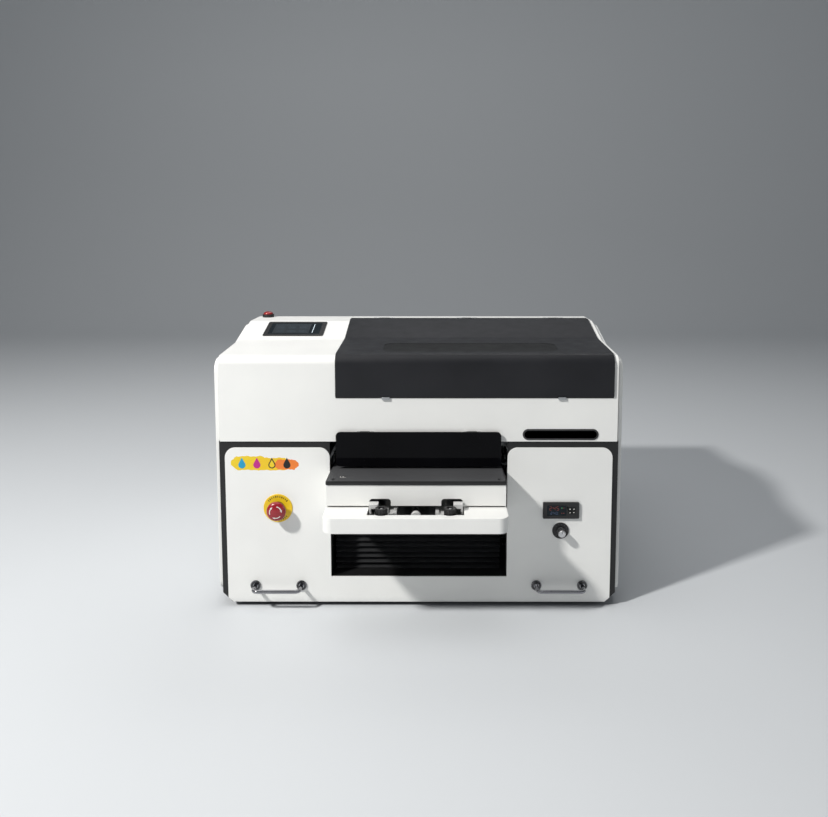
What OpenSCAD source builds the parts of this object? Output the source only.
// Bench-top flatbed UV printer with a lifting, sliding bed.
// Millimetres, +Z up. The origin is on the ground, under the middle of the overall box.
// X runs to the right as seen from the front, and Y runs from the front to the back.

/* [Chassis] */
// Width of the black chassis
body_w = 824; // [816:2:832]
// Height of the chassis, from its floor to the hood's lower edge
chassis_h = 345; // [341:1:349]
// Size of the cut lower corners
corner_cut = 20; // [10:1:26]
// Thickness of the chassis sheet
chassis_t = 2.5; // [2:0.5:3]
// Height of the rubber feet
foot_h = 10; // [6:1:20]

/* [Front panel] */
// Width of the opening between the two white columns
opening_w = 367; // [364:1:372]
// Height of the bottom band, below the opening
opening_z = 56; // [50:1:60]
// Height of the white columns
column_h = 332; // [326:1:336]
// Radius of the columns' top corners
column_r = 21; // [8:1:26]
// Width of the black reveal beside the columns
reveal_w = 12; // [8:1:14]
// Thickness of the raised white panel
panel_t = 3; // [2:0.5:3]

/* [Hood] */
// Width of the hood
hood_w = 818; // [812:2:824]
// Height at which the front face and the lower slope would meet
brow_h = 522; // [516:1:524]
// Depth of the crease between the two slopes
crease_y = 174; // [166:2:184]
// Height of that crease
crease_h = 532; // [528:1:536]
// Depth at which the flat top starts
top_y = 287; // [280:1:292]
// Depth of the flat top
top_d = 103; // [100:1:120]
// Height of the flat top
top_h = 562; // [559:1:567]
// Radius of the rounded brow
brow_r = 18; // [8:1:22]
// How far the side covers stand out
side_out = 8; // [6:1:10]

/* [Top cover] */
// Left edge of the cover, from the middle of the body
cover_left = 170; // [160:2:180]
// Right edge of the cover, from the middle of the body
cover_right = 400; // [396:1:402]
// Height of its front lower edge
cover_z = 440; // [433:1:445]
// Depth of the axis that the cover turns on, at its back edge
hinge_y = 320; // [310:2:340]
// Thickness of the cover
cover_t = 3.4; // [3:0.2:4]
// Length of the dark strip let into it
strip_w = 367; // [300:1:420]

/* [Visor] */
// Width of the smoked visor
visor_w = 339; // [330:1:346]
// Height of its lower edge
visor_z = 295; // [294:1:300]
// Height of its upper edge
visor_top = 367; // [363:1:371]

/* [Bed and tray] */
// Sideways offset of the bed
bed_x = -3; // [-3:0.5:0]
// Width of the bed plate
bed_w = 355; // [340:1:355]
// Depth of the bed plate
bed_d = 450; // [430:5:460]
// How far the bed stands out of the front at rest
bed_reach = 90; // [85:1:95]
// Height of the bed's top
bed_top = 290; // [289:0.5:291]
// Thickness of the bed plate
bed_t = 8; // [6:1:9]
// Height of the white skirt under the plate
skirt_h = 42; // [41:0.5:43]
// How far the tray stands out of the front
tray_reach = 149; // [145:1:155]
// Height of the tray's underside
tray_z = 207; // [206:0.5:208]
// Height of the tray
tray_h = 30; // [27:0.5:30]
// Radius of the tray's front corners
tray_r = 20; // [10:1:24]
// Width of the slot in the tray's top
slot_w = 186; // [180:2:190]
// Number of ribs on the bellows
bellows_ribs = 17; // [12:1:20]
// Width of the bellows
bellows_w = 350; // [300:5:356]

/* [Controls] */
// Diameter of the yellow legend disc
legend_d = 60; // [50:1:70]
// Diameter of the red mushroom
mushroom_d = 40; // [34:1:44]
// Width of the temperature controller
controller_w = 75; // [70:1:80]
// Height of the temperature controller
controller_h = 34.5; // [32:0.5:38]
// Distance between a handle's posts
handle_pitch = 96; // [90:1:110]
// Diameter of a handle's rod
handle_d = 8; // [6:0.5:10]
// How far a handle stands out
handle_reach = 35; // [30:1:40]
// Width of the touch display
display_w = 138; // [120:1:150]
// Depth of the touch display, up the slope
display_d = 85; // [70:1:90]
// Diameter of the red dome on the top
dome_d = 28; // [22:1:30]

/* [Hidden] */
$fn = 96;

body_d = 2 * top_y + top_d;            // the hood's back mirrors its front
front_y = (tray_reach - body_d) / 2;   // the front face, in the overall box
half_w = body_w / 2;
hood_half = hood_w / 2;
running = 0.05;                        // radial clearance of a shaft in its bearing
gap = 0.4;                             // clearance between loose moving pieces

// ---------- shared helpers ----------

// Body coordinates: X from the middle, Y from the front face, Z from the chassis floor.
module at(x, y, z) translate([x, front_y + y, foot_h + z]) children();

// A 2D shape drawn in X and Z, extruded towards the front.
module to_front(l) rotate([90, 0, 0]) linear_extrude(l) children();

// The same, extruded towards the back.
module to_back(l) translate([0, l, 0]) to_front(l) children();

// A 2D shape drawn in Y and Z, extruded along X and centred.
module across(l) rotate([90, 0, 90]) linear_extrude(l, center = true) children();

// A centred rectangle with round corners.
module round_rect(w, h, r) {
    square([w - 2 * r, h], center = true);
    square([w, h - 2 * r], center = true);
    for (i = [-1, 1], j = [-1, 1])
        translate([i * (w / 2 - r), j * (h / 2 - r)]) circle(r);
}

// A block with a corner at its lowest X, Y and Z, given by two opposite corners.
module block(low, high) translate(low) cube(high - low);

// A round bar between two heights.
module post(r, z0, z1) translate([0, 0, z0]) cylinder(r = r, h = z1 - z0);

function unit(v) = v / norm(v);
function flat(p) = [p[0], p[1]];

// The arc that rounds the corner b of the path a, b, c.
function fillet(a, b, c, r, steps = 8) =
    let (u = unit(a - b), v = unit(c - b), half = acos(u * v) / 2,
         centre = b + unit(u + v) * r / sin(half),
         p = b + u * r / tan(half) - centre, q = b + v * r / tan(half) - centre,
         a0 = atan2(p[1], p[0]), turn = atan2(p[0] * q[1] - p[1] * q[0], p * q))
    [for (i = [0:steps]) centre + r * [cos(a0 + turn * i / steps), sin(a0 + turn * i / steps)]];

// A closed outline of [x, y, radius] points, with its corners rounded.
function rounded(pts) =
    let (n = len(pts))
    [for (i = [0:n - 1])
        each (pts[i][2] > 0
            ? fillet(flat(pts[(i + n - 1) % n]), flat(pts[i]), flat(pts[(i + 1) % n]), pts[i][2])
            : [flat(pts[i])])];

// The same outline moved inwards by t, or outwards if t is negative. Round corners keep
// their centres, and the outline runs anticlockwise.
function inset(pts, t) =
    let (n = len(pts))
    [for (i = [0:n - 1])
        let (a = flat(pts[(i + n - 1) % n]), b = flat(pts[i]), c = flat(pts[(i + 1) % n]),
             d1 = unit(b - a), d2 = unit(c - b), n1 = [-d1[1], d1[0]], n2 = [-d2[1], d2[0]],
             p = b + (n1 + n2) * t / (1 + n1 * n2))
        [p[0], p[1], pts[i][2] > 0 ? max(pts[i][2] - t, 0.5) : 0]];

// The hood's outline in Y and Z, from its front lower corner.
hood_path = [
    [0, chassis_h, 0], [body_d, chassis_h, 0], [body_d, brow_h, brow_r],
    [body_d - crease_y, crease_h, 120], [body_d - top_y, top_h, 40],
    [top_y, top_h, 40], [crease_y, crease_h, 120], [0, brow_h, brow_r]
];
slope_low = atan2(crease_h - brow_h, crease_y);          // tilt of the lower slope
slope_high = atan2(top_h - crease_h, top_y - crease_y);  // tilt of the upper slope

// Height of the hood's surface at a depth on the lower or the upper slope.
function low_slope_z(y) = brow_h + y * tan(slope_low);
function high_slope_z(y) = crease_h + (y - crease_y) * tan(slope_high);

// ---------- positions shared by several parts ----------
panel_half = half_w - reveal_w;
lining_d = 41;                    // depth of the lower opening's lining
estop_x = -292;
estop_z = 204;
estop_hole_r = 11;
controls_x = 295;
controller_z = 200;
dial_z = 156;
dial_shaft_r = 3;
handle_x = 294;
handle_z = 37;
pill_x = 292;
pill_z = 360;
pill_w = 156;
pill_h = 23;
display_x = -292;
display_y = 236;
dome_x = -384;
dome_y = 372;
cover_mid = (cover_right - cover_left) / 2;
cover_w = cover_right + cover_left;
hinge_r = 2;                      // radius of the cover's hinge knuckles
hinge_z = top_h + 2.4;            // height of the cover's hinge axis
hinge_xs = [-90, 110, 320];       // middles of the top cover's hinges
strip_x = 108.5;                  // middle of the cover's dark strip
strip_y = 75;
strip_d = 82;
strip_r = 20;
strip_lift = 2.4;                 // height of its rebate above the hood's slope
visor_axis_y = -3.2;
visor_out = 5.8;                  // how far the visor stands in front of the hood
visor_axis_z = visor_top - 2;
visor_hinge_xs = [-110, 110];
fan_xs = [-230, 230];
fan_z = 150;
fan_r = 37;
inlet_x = 330;
inlet_z = 60;
rocker_x = 290;
rocker_depth = 2;                 // depth of its pivot, from the back face
guide_x = 215;                    // guide rods and lead screws, from the middle
guide_ys = [130, 470];
screw_y = 300;
guide_r = 6;
screw_r = 5;
bar_z = 262;                      // underside of the two side bars
bar_t = 12;
beam_y = 262;
beam_z = 345;
rail_x = 50;                      // bed rails, from the bed's middle
bed_screw_r = 4;
pulley_z = 420;
pulley_y = 256;
motor_x = 365;
carriage_x = 290;

// ---------- case ----------

// Cross-section of the chassis in X and Z, moved inwards by t.
module chassis_section(t) {
    h = half_w - t;
    c = corner_cut + t * (1 - tan(22.5)) - t;
    polygon([[-h, chassis_h + 1], [-h, c + t], [-h + c, t], [h - c, t], [h, c + t], [h, chassis_h + 1]]);
}

module opening_2d() translate([-opening_w / 2, opening_z]) square([opening_w, chassis_h]);

module base_frame() color([0.06, 0.06, 0.065]) {
    front_sheet = panel_t + chassis_t;
    at(0, 0, 0) {
        difference() {
            translate([0, panel_t, 0]) to_back(body_d - panel_t - chassis_t) chassis_section(0);
            translate([0, front_sheet, 0]) to_back(body_d) chassis_section(chassis_t);
            translate([0, -1, 0]) to_back(20) {
                opening_2d();
                translate([estop_x, estop_z]) circle(estop_hole_r + 1);
                translate([controls_x, controller_z]) square([72, 30], center = true);
                translate([controls_x, dial_z]) circle(6);
            }
            block([-body_w, -1, chassis_h], [body_w, body_d + 1, chassis_h + 5]);
        }
        // cheeks and sill that line the lower opening
        for (s = [-1, 1]) translate([s * (opening_w / 2 + 1.5), 0, 0])
            block([-1, panel_t + 1, opening_z - 2.5], [1, lining_d, tray_z - 3]);
        block([-opening_w / 2 - 2.5, panel_t + 1, opening_z - 2.5],
              [opening_w / 2 + 2.5, lining_d, opening_z]);
        // inward flanges that carry the hood
        for (s = [-1, 1])
            block([min(s * (half_w - 16), s * (half_w - 1)), front_sheet, chassis_h - 3],
                  [max(s * (half_w - 16), s * (half_w - 1)), body_d - 6, chassis_h]);
    }
}

// Outline of the U-shaped front panel.
module panel_2d() difference() {
    union() {
        for (s = [-1, 1]) translate([s * (opening_w / 2 + panel_half) / 2, column_h / 2])
            round_rect(panel_half - opening_w / 2, column_h, column_r);
        translate([-panel_half, 0]) square([2 * panel_half, opening_z + column_r]);
    }
    translate([-opening_w / 2, opening_z]) square([opening_w, column_r + 1]);
    for (s = [-1, 1]) translate([s * panel_half, 0]) rotate(45)
        square(corner_cut * sqrt(2) / 2, center = true);
}

module front_panel() color([0.9, 0.9, 0.88]) at(0, 0, 0) difference() {
    to_back(panel_t) panel_2d();
    translate([0, -1, 0]) to_back(panel_t + 2) {
        translate([estop_x, estop_z]) circle(estop_hole_r);
        translate([controls_x, controller_z]) square([71, 29], center = true);
        translate([controls_x, dial_z]) circle(5);
        for (s = [-1, 1], k = [-1, 1])
            translate([s * handle_x + k * handle_pitch / 2, handle_z]) circle(2.5);
    }
}

module hood() color([0.92, 0.92, 0.9]) at(0, 0, 0) difference() {
    across(hood_w) polygon(rounded(hood_path));
    across(hood_w - 4) polygon(rounded(inset(hood_path, 2)));
    block([-hood_half + 2, 2, chassis_h - 1], [hood_half - 2, body_d - 2, chassis_h + 10]);
    // opening under the top cover
    block([-cover_left + 14, -1, cover_z + 14], [cover_right - 14, hinge_y - 16, top_h + 5]);
    // seat of the pill-shaped window
    translate([pill_x, -1, pill_z]) to_back(4) round_rect(pill_w - 8, pill_h - 8, (pill_h - 8) / 2 - 0.01);
    // display cut-out and the red button's hole
    translate([display_x, display_y, high_slope_z(display_y)]) rotate([slope_high, 0, 0])
        cube([display_w - 14, display_d - 14, 20], center = true);
    translate([dome_x, dome_y, 0]) post(6, top_h - 8, top_h + 5);
}

// Raised side pan: the body's side profile, moved in from its edges.
module side_cover(s) color([0.9, 0.9, 0.88]) at(0, 0, 0) {
    edge = 10;
    low = 20;
    path = [
        [edge, low, 22], [body_d - edge, low, 22], [body_d - edge, brow_h - edge, 26],
        [body_d - crease_y, crease_h - edge, 120], [body_d - top_y, top_h - edge, 60],
        [top_y, top_h - edge, 60], [crease_y, crease_h - edge, 120], [edge, brow_h - edge, 26]
    ];
    x0 = half_w + 0.01;
    translate([s * (x0 + side_out / 2), 0, 0]) difference() {
        across(side_out) polygon(rounded(path));
        translate([-s * 2, 0, 0]) across(side_out) polygon(rounded(inset(path, 2)));
    }
    // pads that the case screws hold
    pad_t = side_out - 1.9;
    for (y = [60, body_d - 84], z = [60, 280])
        translate([s * (x0 + pad_t / 2), y + 12, z + 12]) cube([pad_t, 24, 24], center = true);
}
module left_side_cover() side_cover(-1);
module right_side_cover() side_cover(1);

module rear_panel() color([0.88, 0.88, 0.86]) at(0, 0, 0) difference() {
    translate([0, body_d - chassis_t, 0]) to_back(chassis_t) intersection() {
        chassis_section(0);
        translate([-half_w, 0]) square([body_w, chassis_h]);
    }
    translate([0, body_d - chassis_t - 1, 0]) to_back(chassis_t + 2) {
        for (x = fan_xs) translate([x, fan_z]) circle(fan_r);
        translate([inlet_x, inlet_z]) square([28, 20], center = true);
        translate([rocker_x, inlet_z]) square([20, 26], center = true);
        // louvres
        for (x = [-120, 0, 120], i = [0:7]) translate([x, 60 + i * 16]) round_rect(90, 5, 2.4);
    }
}

module feet() color([0.08, 0.08, 0.08])
    for (x = [-340, 340], y = [60, body_d - 60]) at(x, y, -foot_h) {
        post(20, 0, foot_h - 2);
        post(16, foot_h - 2, foot_h);
    }

// Button-head screws of the rear panel and the hood's back.
module case_screws() color([0.3, 0.3, 0.31])
    for (x = [-380, -130, 130, 380], z = [24, chassis_h - 12]) at(x, body_d, z) rotate([-90, 0, 0]) {
        cylinder(r = 4, h = 1.2);
        translate([0, 0, 1.2]) cylinder(r1 = 4, r2 = 2.6, h = 1);
    }

// Chrome bow handle: two posts, two elbows and a bar.
module handle(x) color([0.8, 0.8, 0.82]) at(x, 0, handle_z) {
    r = handle_d / 2;
    bend = 10;
    out = handle_reach - r;
    for (s = [-1, 1]) {
        translate([s * handle_pitch / 2, 0, 0]) rotate([90, 0, 0]) cylinder(r = r, h = out - bend);
        translate([s * (handle_pitch / 2 - bend), -out + bend, 0])
            rotate([0, 0, s > 0 ? -90 : 180]) rotate_extrude(angle = 90) translate([bend, 0]) circle(r);
        // screwed rose at the panel
        translate([s * handle_pitch / 2, 0, 0]) rotate([90, 0, 0]) difference() {
            cylinder(r = 10.5, h = 3);
            translate([0, 0, -1]) cylinder(r = r - 0.5, h = 5);
        }
    }
    translate([-handle_pitch / 2 + bend, -out, 0]) rotate([0, 90, 0])
        cylinder(r = r, h = handle_pitch - 2 * bend);
}
module handles() for (s = [-1, 1]) handle(s * handle_x);

module pill_window() color([0.03, 0.03, 0.035]) at(pill_x, 0, pill_z) {
    translate([0, -1.2, 0]) to_back(1.2) round_rect(pill_w, pill_h, pill_h / 2 - 0.01);
    to_back(2) round_rect(pill_w - 8.4, pill_h - 8.4, (pill_h - 8.4) / 2 - 0.01);
}

module on_high_slope(x, y)
    at(x, y, high_slope_z(y)) rotate([slope_high, 0, 0]) children();

module display_bezel() color([0.1, 0.1, 0.11]) on_high_slope(display_x, display_y) {
    difference() {
        linear_extrude(2) round_rect(display_w, display_d, 4);
        translate([0, 0, -1]) linear_extrude(5) square([display_w - 20, display_d - 18], center = true);
    }
    translate([0, 0, -16]) difference() {
        linear_extrude(16) square([display_w - 15, display_d - 15], center = true);
        translate([0, 0, 2]) linear_extrude(16) square([display_w - 20, display_d - 20], center = true);
    }
}

module display_glass() color([0.02, 0.02, 0.03]) on_high_slope(display_x, display_y)
    translate([0, 0, 0.4]) linear_extrude(1) square([display_w - 20, display_d - 18], center = true);

// ---------- controls ----------

// Round stack along the front-back axis: the profile's X is its radius, its Y points forwards.
module turned(pts) rotate([90, 0, 0]) rotate_extrude() polygon(pts);

module estop_plate() color([0.95, 0.78, 0.05]) at(estop_x, 0, estop_z)
    to_front(1.5) difference() {
        circle(r = legend_d / 2);
        circle(r = estop_hole_r);
    }

module estop_collar() color([0.12, 0.12, 0.12]) at(estop_x, 0, estop_z) difference() {
    union() {
        rotate([90, 0, 0]) translate([0, 0, -46]) cylinder(r = estop_hole_r - running, h = 50);
        rotate([90, 0, 0]) translate([0, 0, 1.5]) cylinder(r = 14.5, h = 3.5);
        rotate([90, 0, 0]) translate([0, 0, -46]) cylinder(r = 15, h = 34);
    }
    rotate([90, 0, 0]) translate([0, 0, -30]) cylinder(r = 6 + running, h = 60);
}

module estop_stem() color([0.6, 0.05, 0.04]) at(estop_x, 0, estop_z)
    turned([[0, -18], [6, -18], [6, 11.5], [4, 11.5], [4, 24], [0, 24]]);

module estop_button() color([0.75, 0.06, 0.05]) at(estop_x, 0, estop_z) {
    r = mushroom_d / 2;
    neck = 4 + running;
    turned([[neck, 12], [9, 12], [11, 16], [r - 3, 16], [r - 0.5, 17.5], [r, 20], [r - 0.6, 23],
            [r - 3, 25.6], [r - 7, 27.2], [6, 28.5], [0, 29], [0, 24 + running], [neck, 24 + running]]);
}

module top_button_base() color([0.2, 0.02, 0.02]) at(dome_x, dome_y, top_h) difference() {
    union() {
        post(dome_d / 2, 0, 4);
        post(6 - running, -18, 0);
        post(9, -20, -8);
    }
    post(4 + running, -14, 5);
}

module top_button() color([0.7, 0.04, 0.03]) at(dome_x, dome_y, top_h) {
    r = dome_d / 2 - 2;
    rotate_extrude() polygon(concat(
        [[0, -10], [4, -10], [4, 8], [r, 8]],
        [for (i = [1:8]) [r * cos(i * 90 / 8), 8 + 6.5 * sin(i * 90 / 8)]]));
}

// The four keys sit in a square at the right of the screen.
key_pitch = [7.8, 7.4];
key_size = [6.2, 5.4];
key_dx = 22;
function key_pos(i) =
    [controls_x + key_dx + (i % 2 - 0.5) * key_pitch[0], controller_z + (0.5 - floor(i / 2)) * key_pitch[1]];

module controller_case() color([0.07, 0.07, 0.08]) at(0, 0, 0) difference() {
    translate([controls_x, 0, controller_z]) {
        to_front(5) round_rect(controller_w, controller_h, 2);
        to_back(60) square([70.6, 28.6], center = true);
    }
    // recess of the screen and pockets of the keys
    translate([controls_x - 9, -4, controller_z]) to_front(5) round_rect(40, 22, 1);
    for (i = [0:3]) translate([key_pos(i)[0], -2.5, key_pos(i)[1]]) to_front(5)
        square([key_size[0] + 2 * gap, key_size[1] + 2 * gap], center = true);
}

module controller_screen() color([0.1, 0.12, 0.14]) at(controls_x - 9, -4, controller_z)
    to_front(0.6) round_rect(39.6, 21.6, 0.9);

module key(i) color([0.16, 0.16, 0.17]) at(key_pos(i)[0], -3.6, key_pos(i)[1])
    to_front(2.6) round_rect(key_size[0], key_size[1], 0.8);
module key_1() key(0);
module key_2() key(1);
module key_3() key(2);
module key_4() key(3);

module dial_plate() color([0.05, 0.05, 0.055]) at(controls_x, 0, dial_z) difference() {
    union() {
        rotate([90, 0, 0]) cylinder(r = 17.25, h = 2);
        rotate([90, 0, 0]) translate([0, 0, -25]) cylinder(r = 4.9, h = 25);
        rotate([90, 0, 0]) translate([0, 0, -25]) cylinder(r = 9, h = 14);
    }
    rotate([90, 0, 0]) translate([0, 0, -18]) cylinder(r = dial_shaft_r + running, h = 30);
}

module dial_knob() color([0.75, 0.75, 0.76]) at(controls_x, 0, dial_z)
    turned([[0, -17], [dial_shaft_r, -17], [dial_shaft_r, 3], [8.5, 3], [8.5, 6], [7.6, 8],
            [7.2, 21], [6.2, 22.5], [0, 22.5]]);

// Mains inlet, with the frame of the power switch beside it.
module power_inlet() color([0.08, 0.08, 0.08]) at(inlet_x, body_d, inlet_z) difference() {
    union() {
        to_back(2.4) round_rect(38, 28, 3);
        translate([0, -30, 0]) to_back(30) square([27.6, 19.6], center = true);
        translate([rocker_x - inlet_x, 0, 0]) difference() {
            union() {
                to_back(1.6) round_rect(24, 30, 2);
                translate([0, -16, 0]) to_back(16) square([19.8, 25.8], center = true);
            }
            translate([0, -12, 0]) to_back(20) square([18, 23.4], center = true);
        }
    }
    // socket with three pins left standing in it
    translate([0, -18, 0]) to_back(30) difference() {
        round_rect(24, 16, 3);
        for (p = [[-7, -2], [0, 3], [7, -2]]) translate(p) square([2.2, 5], center = true);
    }
}

module power_rocker() color([0.55, 0.04, 0.04]) at(rocker_x, body_d - rocker_depth, inlet_z)
rotate([10, 0, 0]) rotate([0, 90, 0]) {
    linear_extrude(17, center = true)
        polygon([[-10.5, 4.1], [0, 2.7], [10.5, 4.1], [10.5, -1], [3, -3.5], [-3, -3.5], [-10.5, -1]]);
    cylinder(r = 1.5, h = 17.8, center = true);
}

// ---------- covers ----------

// The part of the hood's outline that the top cover follows, between two offsets.
module cover_section(z0, y1) intersection() {
    difference() {
        polygon(rounded(inset(hood_path, -0.6 - cover_t)));
        polygon(rounded(inset(hood_path, -0.6)));
    }
    translate([-20, z0]) square([y1 + 20, top_h]);
}

module top_cover() color([0.07, 0.07, 0.075]) at(0, 0, 0) {
    difference() {
        translate([cover_mid, 0, 0]) across(cover_w) cover_section(cover_z, hinge_y - 3);
        // opening under the dark strip, and the rebate that it lies in
        translate([strip_x, strip_y, low_slope_z(strip_y)]) rotate([slope_low, 0, 0]) {
            linear_extrude(12) round_rect(strip_w - 16, strip_d - 16, strip_r - 8);
            translate([0, 0, strip_lift]) linear_extrude(8)
                round_rect(strip_w + 0.4, strip_d + 0.4, strip_r);
        }
    }
    // hinge leaves with their knuckles
    for (x = hinge_xs) at_hinge(x) difference() {
        union() {
            rotate([0, 90, 0]) cylinder(r = hinge_r, h = 24, center = true);
            block([-12, -5, -1], [12, 0, 0.8]);
        }
        rotate([0, 90, 0]) cylinder(r = hinge_r / 2 + running, h = 60, center = true);
    }
}
module at_hinge(x) translate([x, hinge_y, hinge_z]) children();

module cover_strip() color([0.02, 0.02, 0.025])
    at(strip_x, strip_y, low_slope_z(strip_y)) rotate([slope_low, 0, 0]) translate([0, 0, strip_lift])
        linear_extrude(1.2) round_rect(strip_w, strip_d, strip_r);

// Fixed halves of the hinges: outer knuckles, their feet on the hood, and the pins.
module cover_hinges() color([0.1, 0.1, 0.1]) for (x = hinge_xs) at(0, 0, 0) at_hinge(x) {
    rotate([0, 90, 0]) cylinder(r = hinge_r / 2, h = 50, center = true);
    for (s = [-1, 1]) translate([s * 18.5, 0, 0]) {
        rotate([0, 90, 0]) cylinder(r = hinge_r, h = 12, center = true);
        block([-6, 0, top_h - hinge_z], [6, hinge_r, 0]);
        block([-6, 0, top_h - hinge_z], [6, 12, top_h - hinge_z + 1.4]);
    }
}

// Light stop tabs under the cover's front edge.
module cover_tabs() color([0.8, 0.8, 0.78]) for (x = [-67, 294])
    at(x, 0, cover_z - 4.6) to_front(3.6) round_rect(16, 6, 1);

module visor() color([0.05, 0.05, 0.06, 0.8]) at(0, 0, 0) {
    translate([0, -visor_out, (visor_z + visor_top) / 2]) to_front(2.8)
        round_rect(visor_w, visor_top - visor_z, 9);
    for (x = visor_hinge_xs) translate([x, visor_axis_y, visor_axis_z]) difference() {
        union() {
            rotate([0, 90, 0]) cylinder(r = 2.4, h = 20, center = true);
            block([-10, -visor_out - visor_axis_y, -8], [10, -1.2, 0]);
        }
        rotate([0, 90, 0]) cylinder(r = 1 + running, h = 60, center = true);
    }
}

module visor_hinges() color([0.1, 0.1, 0.1])
    for (x = visor_hinge_xs) at(x, visor_axis_y, visor_axis_z) {
        rotate([0, 90, 0]) cylinder(r = 1, h = 34, center = true);
        for (s = [-1, 1]) translate([s * 14, 0, 0]) {
            rotate([0, 90, 0]) cylinder(r = 2, h = 6, center = true);
            block([-3, 0, -2], [3, -visor_axis_y, 2]);
        }
    }

// ---------- bed ----------
skirt_z = bed_top - bed_t - skirt_h;
skirt_y = -bed_reach + 2;
rail_z = tray_z + 8;                 // underside of the bed rails
block_ys = [60, 300];                // middles of the bed's linear blocks
block_top = skirt_z - 1;
screw_z = tray_z + 16;               // axis of the bed's drive screw
notch_x = 70.5;
knob_x = 66;
knob_y = -118;
knob_r = 12;
knob_stud_r = 4;

module at_bed(x, y, z) at(bed_x + x, y, z) children();

module bed_plate() color([0.28, 0.28, 0.29]) at_bed(0, bed_d / 2 - bed_reach, bed_top - bed_t)
    linear_extrude(bed_t) round_rect(bed_w, bed_d, 5);

module bed_skirt() color([0.92, 0.92, 0.9]) at_bed(0, 0, 0) {
    w = bed_w / 2 - 1;
    back = bed_d - bed_reach - 4;
    difference() {
        block([-w, skirt_y, skirt_z], [w, back, skirt_z + skirt_h]);
        block([-w + 2, skirt_y + 2, skirt_z - 1], [w - 2, back + 1, skirt_z + skirt_h - 2]);
        // notches that clear the knobs and brackets
        for (s = [-1, 1]) translate([s * notch_x, skirt_y - 1, skirt_z]) to_back(4)
            round_rect(42, 28, 6);
    }
}

// Linear blocks that straddle the rails, their risers, and the screw's nut.
module bed_blocks() color([0.62, 0.63, 0.65]) at_bed(0, 0, 0) {
    under = skirt_z + skirt_h - 2;
    for (s = [-1, 1], y = block_ys) translate([s * rail_x, y, 0]) {
        difference() {
            block([-21, -25, rail_z + 2], [21, 25, block_top]);
            block([-12 - gap, -26, rail_z], [12 + gap, 26, rail_z + 15 + gap]);
        }
        block([-15, -18, block_top], [15, 18, under]);
    }
    translate([0, 200, 0]) difference() {
        union() {
            translate([0, 0, screw_z]) to_front(40) circle(7);
            block([-6, -40, screw_z + 4], [6, 0, under]);
        }
        translate([0, 1, screw_z]) to_front(50) circle(bed_screw_r + running);
    }
}

module bed_screw() color([0.7, 0.7, 0.72]) at_bed(0, 620, screw_z) rotate([90, 0, 0])
    cylinder(r = bed_screw_r, h = 717);

// Tray: the hollow white front of the lift platform, with a slot in its top.
module tray_2d(t) {
    w = bed_w - 2 * t;
    translate([0, -tray_reach + t]) {
        r = tray_r - t;
        translate([-w / 2, r]) square([w, tray_reach + 30 - t - r]);
        translate([-w / 2 + r, 0]) square([w - 2 * r, r + 1]);
        for (s = [-1, 1]) translate([s * (w / 2 - r), r]) circle(r);
    }
}
module tray() color([0.93, 0.93, 0.91]) at_bed(0, 0, tray_z) difference() {
    linear_extrude(tray_h) tray_2d(0);
    // the cavity is open at the back
    translate([0, 0, 2]) linear_extrude(tray_h - 4) tray_2d(2);
    block([-bed_w / 2 + 2, 20, 2], [bed_w / 2 - 2, 31, tray_h - 2]);
    block([-slot_w / 2, -tray_reach + 20, tray_h - 5], [slot_w / 2, 31, tray_h + 1]);
    for (s = [-1, 1]) translate([s * knob_x, knob_y, 0]) post(knob_r + 3, tray_h - 5, tray_h + 1);
}

// Lift platform: a plate with arms to the four guide rods and the two lead screws.
module lift_plate() color([0.6, 0.61, 0.63]) at(0, 0, tray_z + 2) {
    difference() {
        union() {
            linear_extrude(6) {
                translate([bed_x - 105, -136]) square([210, 186]);
                translate([-150, 32]) square([300, 586]);
                for (y = concat(guide_ys, [screw_y])) translate([-guide_x - 15, y - 15])
                    square([2 * guide_x + 30, 30]);
            }
            for (s = [-1, 1], y = concat(guide_ys, [screw_y]))
                translate([s * guide_x, y, 0]) post(11, -14, 22);
        }
        for (s = [-1, 1], y = guide_ys) translate([s * guide_x, y, 0]) post(guide_r + running, -20, 30);
        for (s = [-1, 1]) translate([s * guide_x, screw_y, 0]) post(screw_r + running, -20, 30);
        for (s = [-1, 1]) translate([bed_x + s * knob_x, knob_y, 0]) post(knob_stud_r + running, -1, 8);
    }
}

// Two rails, the front bearing of the bed's screw, and the knobs' brackets.
module bed_rails() color([0.78, 0.79, 0.8]) at_bed(0, 0, 0) {
    for (s = [-1, 1]) translate([s * rail_x, 0, rail_z]) difference() {
        block([-12, -95, 0], [12, 616, 15]);
        block([-5, -96, 11], [5, 617, 16]);
    }
    translate([0, -94, screw_z]) difference() {
        union() {
            to_front(10) circle(10);
            block([-10, -10, rail_z - screw_z], [10, 0, 0]);
        }
        block([-11, -11, -11], [11, 1, rail_z - screw_z]);
        translate([0, 1, 0]) to_front(7) circle(bed_screw_r + running);
    }
    for (s = [-1, 1]) translate([s * 82, 0, 0]) difference() {
        union() {
            block([-9, -108, tray_z + 8], [9, -90, tray_z + 43]);
            block([s > 0 ? -27 : -9, -108, tray_z + 8], [s > 0 ? 9 : 27, -96, tray_z + 11]);
        }
        block([-5, -109, tray_z + 20], [5, -89, tray_z + 34]);
        translate([s * (knob_x - 82), knob_y, 0]) post(knob_r + 1, tray_z, tray_z + 60);
    }
}

module bed_motor() color([0.1, 0.1, 0.11]) at_bed(0, 0, screw_z) difference() {
    union() {
        block([-21, 622, -16], [21, 662, 21]);
        block([-10, 618, -14], [10, 622, 8]);
    }
    translate([0, 621, 0]) to_front(10) circle(bed_screw_r + running);
}

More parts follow.
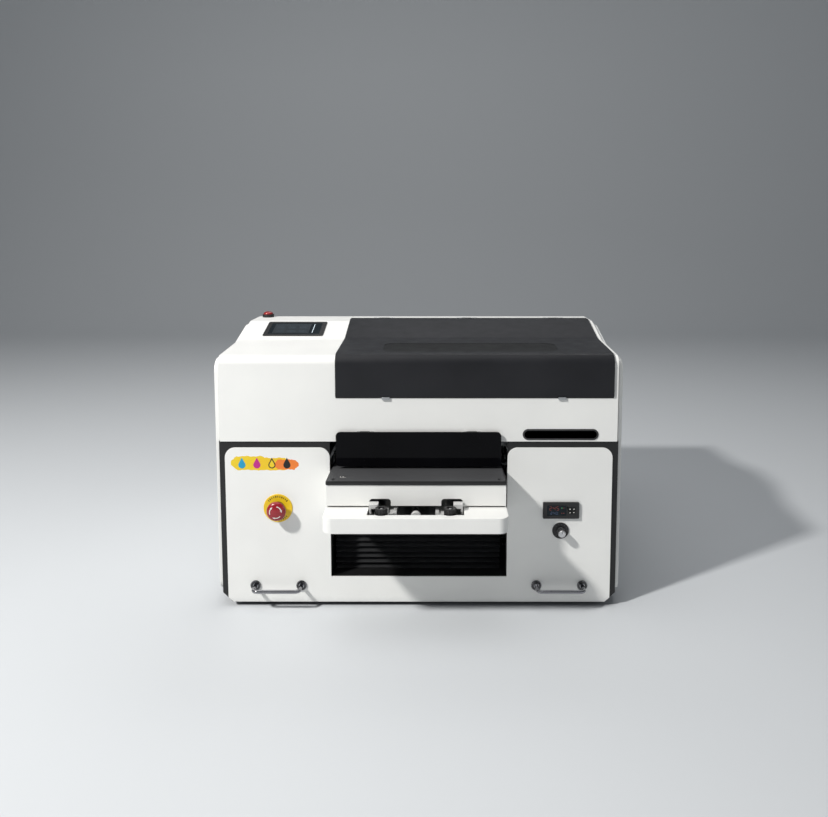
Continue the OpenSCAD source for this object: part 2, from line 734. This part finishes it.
// Ribbed levelling knob on a stud.
module level_knob(s) color([0.06, 0.06, 0.06]) at_bed(s * knob_x, knob_y, 0) difference() {
    union() {
        post(knob_r, tray_z + 22, tray_z + 40);
        post(knob_stud_r, tray_z + 3, tray_z + 23);
    }
    post(6, tray_z + 36, tray_z + 42);
    for (i = [0:11]) rotate(i * 30) translate([knob_r + 0.6, 0, 0]) post(1.5, tray_z + 21, tray_z + 41);
}
module level_knob_left() level_knob(-1);
module level_knob_right() level_knob(1);

// ---------- lift ----------

// Guide rods, the side bars that tie their tops, and the screws' foot bearings.
module lift_guides() color([0.7, 0.71, 0.73]) for (s = [-1, 1]) at(s * guide_x, 0, 0) {
    for (y = guide_ys) translate([0, y, 0]) post(guide_r, chassis_t, bar_z);
    difference() {
        union() {
            block([-12, panel_t + chassis_t, bar_z], [12, body_d - chassis_t, bar_z + bar_t]);
            block([-16, screw_y - 16, chassis_t], [16, screw_y + 16, 14]);
        }
        translate([0, screw_y, 0]) post(screw_r + running, 4, bar_z + bar_t + 1);
    }
}

module lift_screw(s) color([0.72, 0.72, 0.74]) at(s * guide_x, screw_y, 0) {
    post(screw_r, 5, bar_z + bar_t - 2);
    post(14, 16, 28);
}
module lift_screw_left() lift_screw(-1);
module lift_screw_right() lift_screw(1);

// Lift motor, and the cross-belt that turns both lead screws.
module lift_drive() color([0.1, 0.1, 0.11]) at(0, 0, 0) {
    block([-330, screw_y - 28, chassis_t], [-274, screw_y + 28, 15]);
    block([-326, screw_y - 24, 30], [-278, screw_y + 24, 90]);
    for (x = [-326, -282], y = [screw_y - 24, screw_y + 20]) block([x, y, 14], [x + 4, y + 4, 31]);
    translate([0, screw_y, 19]) linear_extrude(6) difference() {
        translate([-43.5, 0]) round_rect(517 + 32, 32, 15.99);
        translate([-43.5, 0]) round_rect(517 + 29, 29, 14.49);
    }
    translate([-302, screw_y, 0]) post(13.9, 18, 26);
    translate([-302, screw_y, 0]) post(4, 15, 31);
}

// Folded curtain between the chassis floor and the lift platform.
module bellows() color([0.05, 0.05, 0.055]) at(bed_x, 50, chassis_t + 0.1) {
    full_h = tray_z - chassis_t - 0.2;
    rib = full_h / bellows_ribs;
    across(bellows_w) polygon(concat(
        [for (i = [0:bellows_ribs - 1]) each [[-1, i * rib], [-8, (i + 0.5) * rib]]],
        [[-1, full_h], [1.5, full_h], [1.5, 0]]));
}

// ---------- print unit ----------
belt_r = 12;
carriage_w = 130;
lamp_w = 58;

module gantry() color([0.6, 0.61, 0.63]) at(0, 0, 0) {
    difference() {
        block([-396, beam_y, beam_z], [396, beam_y + 50, beam_z + 50]);
        block([-397, beam_y + 4, beam_z + 4], [397, beam_y + 46, beam_z + 46]);
    }
    block([-385, beam_y - 10, beam_z + 17], [385, beam_y, beam_z + 33]);
    for (s = [-1, 1])
        block([s * guide_x - 12, beam_y + 5, bar_z + bar_t], [s * guide_x + 12, beam_y + 45, beam_z]);
}

module carriage() color([0.12, 0.12, 0.13]) at(carriage_x, 0, 0) {
    w = carriage_w / 2;
    difference() {
        block([-w, 130, 330], [w, beam_y - 15, 440]);
        block([-w + 3, 133, 326], [w - 3, beam_y - 20, 437]);
    }
    // floor plate that holds the heads
    difference() {
        block([-w, 130, 322], [w, beam_y - 15, 330]);
        for (s = [-1, 1]) block([s * 30 - 17, 144, 320], [s * 30 + 17, 230, 332]);
    }
    // linear block round the gantry's rail
    difference() {
        block([-30, beam_y - 15, beam_z + 10], [30, beam_y - gap, beam_z + 40]);
        block([-31, beam_y - 10 - gap, beam_z + 17 - gap], [31, beam_y, beam_z + 33 + gap]);
    }
}

module print_heads() color([0.2, 0.22, 0.25]) for (s = [-1, 1]) at(carriage_x + s * 30, 0, 0) {
    block([-17, 144, 322], [17, 230, 372]);
    block([-13, 150, bed_top + 3], [13, 224, 322]);
}

module uv_lamp() color([0.5, 0.5, 0.52]) at(carriage_x - carriage_w / 2 - lamp_w, 0, 0) difference() {
    block([0, 140, bed_top + 6], [lamp_w, 235, 400]);
    for (i = [0:6]) block([8 + i * 6, 139, 360], [11 + i * 6, 236, 401]);
    block([8, 150, bed_top + 5], [lamp_w - 8, 225, bed_top + 12]);
}

// Carriage belt, its motor and the idler's bracket.
module belt_drive() color([0.09, 0.09, 0.1]) at(0, 0, 0) {
    translate([0, pulley_y - 3, pulley_z]) to_back(6) difference() {
        round_rect(2 * (motor_x + belt_r + 1.8), 2 * (belt_r + 1.8), belt_r + 1.79);
        round_rect(2 * (motor_x + belt_r + 0.4), 2 * (belt_r + 0.4), belt_r + 0.39);
    }
    for (s = [-1, 1]) translate([s * motor_x, 0, pulley_z]) difference() {
        block([-21, pulley_y + 14, -25], [21, pulley_y + (s > 0 ? 56 : 22), 21]);
        translate([0, pulley_y + 24, 0]) to_front(20) circle(2.5 + running);
    }
}

module belt_pulley(s) color([0.65, 0.65, 0.67]) at(s * motor_x, pulley_y, pulley_z) {
    translate([0, -4, 0]) to_back(8) circle(belt_r);
    for (y = [-5.2, 4]) translate([0, y, 0]) to_back(1.2) circle(belt_r + 1.5);
    translate([0, -4, 0]) to_back(24) circle(2.5);
}
module motor_pulley() belt_pulley(1);
module idler_pulley() belt_pulley(-1);

// Power supply, control board, ink tanks and capping station.
module service_parts() color([0.45, 0.46, 0.48]) at(0, 0, 0) {
    block([-388, 420, chassis_t], [-290, 620, 55]);
    block([-404, 130, 60], [-402, 370, 240]);
    for (y = [140, 360], z = [70, 230])
        translate([-half_w + chassis_t, y, z]) rotate([0, 90, 0])
            cylinder(r = 3, h = half_w - chassis_t - 404);
    for (i = [0:3], j = [0:2]) translate([268 + i * 31, 490 + j * 48, chassis_t]) {
        cube([27, 42, 100]);
        translate([13.5, 21, 100]) cylinder(r = 9, h = 14);
    }
    block([270, 170, chassis_t], [310, 210, 250]);
    difference() {
        block([236, 140, 250], [344, 240, 281]);
        for (x = [260, 320]) block([x - 19, 146, 272], [x + 19, 228, 282]);
    }
}

module fan_frames() color([0.07, 0.07, 0.075]) for (x = fan_xs)
at(x, body_d - chassis_t, fan_z) difference() {
    union() {
        translate([0, -25, 0]) to_back(25) difference() {
            round_rect(80, 80, 5);
            circle(fan_r);
        }
        translate([0, -25, 0]) to_back(4) {
            circle(17);
            for (a = [0, 90]) rotate(a) square([2 * fan_r + 2, 4], center = true);
        }
    }
    translate([0, -26, 0]) to_back(30) circle(2 + running);
}

module fan_rotor(i) color([0.1, 0.1, 0.105]) at(fan_xs[i], body_d - chassis_t, fan_z) {
    translate([0, -20, 0]) to_back(16) circle(16);
    translate([0, -24.5, 0]) to_back(5) circle(2);
    intersection() {
        translate([0, -20, 0]) to_back(16) circle(fan_r - 1.2);
        for (k = [0:6]) rotate([0, k * 360 / 7, 0]) translate([0, -12, 25]) rotate([0, 0, 38])
            cube([1.6, 24, 26], center = true);
    }
}
module fan_left() fan_rotor(0);
module fan_right() fan_rotor(1);

base_frame();
front_panel();
hood();
left_side_cover();
right_side_cover();
rear_panel();
feet();
case_screws();
handles();
pill_window();
display_bezel();
display_glass();
estop_plate();
estop_collar();
estop_stem();
estop_button();
top_button_base();
top_button();
controller_case();
controller_screen();
key_1();
key_2();
key_3();
key_4();
dial_plate();
dial_knob();
power_inlet();
power_rocker();
top_cover();
cover_strip();
cover_hinges();
cover_tabs();
visor();
visor_hinges();
bed_plate();
bed_skirt();
bed_blocks();
bed_screw();
tray();
lift_plate();
bed_rails();
bed_motor();
level_knob_left();
level_knob_right();
lift_guides();
lift_screw_left();
lift_screw_right();
lift_drive();
bellows();
gantry();
carriage();
print_heads();
uv_lamp();
belt_drive();
motor_pulley();
idler_pulley();
service_parts();
fan_frames();
fan_left();
fan_right();
